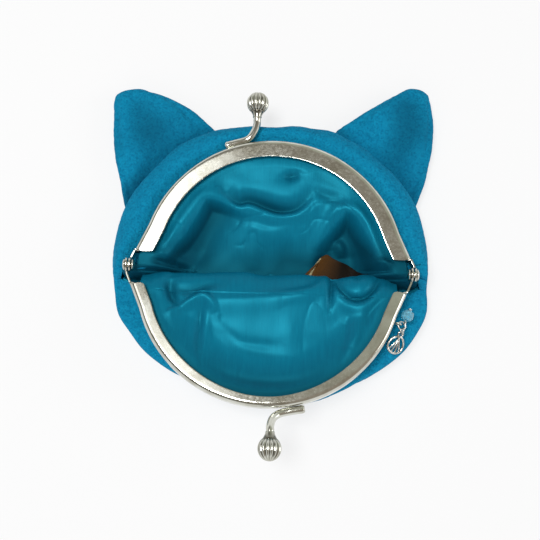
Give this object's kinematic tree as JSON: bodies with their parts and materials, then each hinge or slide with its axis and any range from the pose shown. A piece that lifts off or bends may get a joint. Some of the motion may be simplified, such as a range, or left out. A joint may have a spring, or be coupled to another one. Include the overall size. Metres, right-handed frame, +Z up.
{
  "type": "coin_purse",
  "caption": "Plush coin purse with two ears on a semicircular kiss-lock frame, laid open on its back, with satin lining, an aqua bead and an openwork drop charm on the front rim.",
  "frame": {"origin": "on the table, under the middle of the hinge line", "axes": "+X along the hinge line to the right, +Y towards the ears, +Z up"},
  "size_m": [0.1015, 0.1181, 0.0266],
  "materials": {
    "nickel": "polished nickel plate",
    "silver": "polished",
    "plush": "short pile plush",
    "satin": "satin",
    "wadding": "loose fibre",
    "paper": "twisted paper cord",
    "bead": "faceted",
    "label": "woven ribbon"
  },
  "bodies": {
    "back": {"back_frame_channel": "nickel", "back_paper_cord": "paper", "back_clasp_stem": "nickel", "back_clasp_ball": "nickel", "hinge_rivet_right": "nickel", "hinge_rivet_left": "nickel", "back_plush_panel": "plush", "back_wadding": "wadding", "back_lining": "satin", "pouch_front_plush": "plush", "pouch_front_lining": "satin", "lining_label": "label", "right_ear_front_panel": "plush", "right_ear_back_panel": "plush", "right_ear_wadding": "wadding", "left_ear_front_panel": "plush", "left_ear_back_panel": "plush", "left_ear_wadding": "wadding"},
    "front": {"front_frame_channel": "nickel", "front_paper_cord": "paper", "front_clasp_stem": "nickel", "front_clasp_ball": "nickel", "front_flap_lining": "satin", "front_flap_plush": "plush", "charm_lug": "nickel"},
    "ring": {"charm_ring": "silver"},
    "pin": {"bead_pin": "silver"},
    "bead": {"charm_bead": "bead"},
    "link": {"charm_link": "silver"},
    "charm": {"openwork_charm": "silver"}
  },
  "joints": [
    {"name": "frame_hinge", "type": "hinge", "parent": "back", "child": "front", "pos_m": [0, 0, 0.016], "axis": [-1, 0, 0], "range_deg": [0, 172]},
    {"name": "ring_swing", "type": "hinge", "parent": "front", "child": "ring", "pos_m": [0.03831, -0.01463, 0.01442], "axis": [-0.3256, -0.9363, 0.1316], "range_deg": [0, 45]},
    {"name": "bead_swing", "type": "hinge", "parent": "ring", "child": "pin", "pos_m": [0.04023, -0.01425, 0.01376], "axis": [0.8496, -0.4465, -0.2807], "range_deg": [0, 40]},
    {"name": "bead_spin", "type": "hinge", "parent": "pin", "child": "bead", "pos_m": [0.04023, -0.01425, 0.01376], "axis": [0.3806, 0.8875, -0.2598], "continuous": true},
    {"name": "link_swing", "type": "hinge", "parent": "ring", "child": "link", "pos_m": [0.03961, -0.01622, 0.01401], "axis": [-0.9135, 0.2676, 0.3065], "range_deg": [0, 30]},
    {"name": "charm_swing", "type": "hinge", "parent": "link", "child": "charm", "pos_m": [0.03911, -0.01747, 0.01361], "axis": [-0.9135, 0.2676, 0.3065], "range_deg": [0, 20]}
  ]
}
